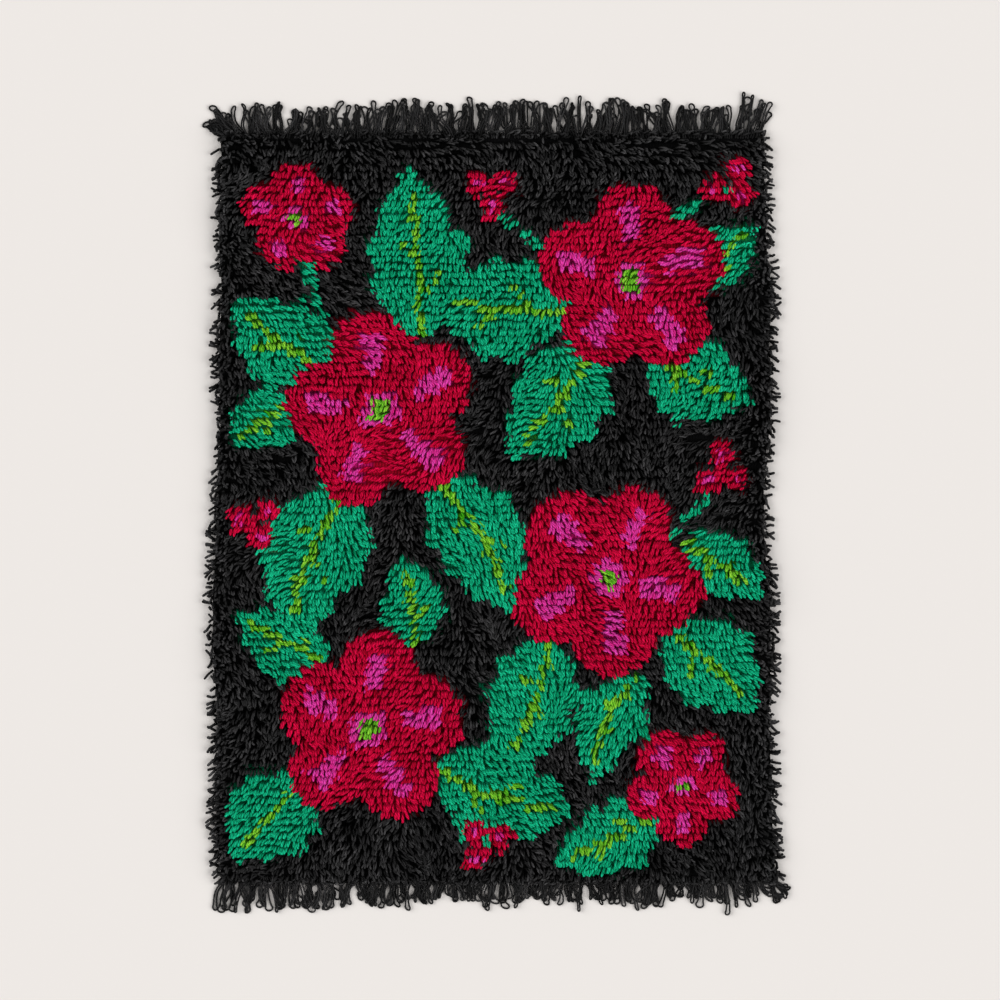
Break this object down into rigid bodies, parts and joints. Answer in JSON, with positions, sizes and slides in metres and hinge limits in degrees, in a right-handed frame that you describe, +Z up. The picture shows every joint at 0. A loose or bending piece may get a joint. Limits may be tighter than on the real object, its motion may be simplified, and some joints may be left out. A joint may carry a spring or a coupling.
{
  "type": "hand-knotted rug",
  "caption": "Rectangular hand-knotted shag rug, lying flat, with a lumpy yarn pile, shaggy long sides and uncut looped fringes at both ends.",
  "frame": {"origin": "centre of the pile field's flat underside", "axes": "+X across the rug to its right side, +Y along the rug to its upper fringe, +Z up through the pile"},
  "size_m": [0.8595, 1.1985, 0.0259],
  "materials": {
    "ground_pile": "thick plied wool-like yarn in uncut knots, black, matt with a faint sheen",
    "fringe_cord": "plied black warp cord in uncut loops, matt",
    "crimson_pile": "thick plied yarn, crimson, matt with a faint sheen",
    "magenta_pile": "thick plied yarn, magenta, matt with a faint sheen",
    "green_pile": "thick plied yarn, emerald green, matt with a faint sheen",
    "lime_pile": "thick plied yarn, lime green, matt with a faint sheen",
    "ground_weave": "plain black woven foundation with the backs of the knots showing in rows"
  },
  "bodies": {
    "root": {"rug_pile": "ground_pile", "fringe_upper": "fringe_cord", "fringe_lower": "fringe_cord"}
  },
  "joints": []
}
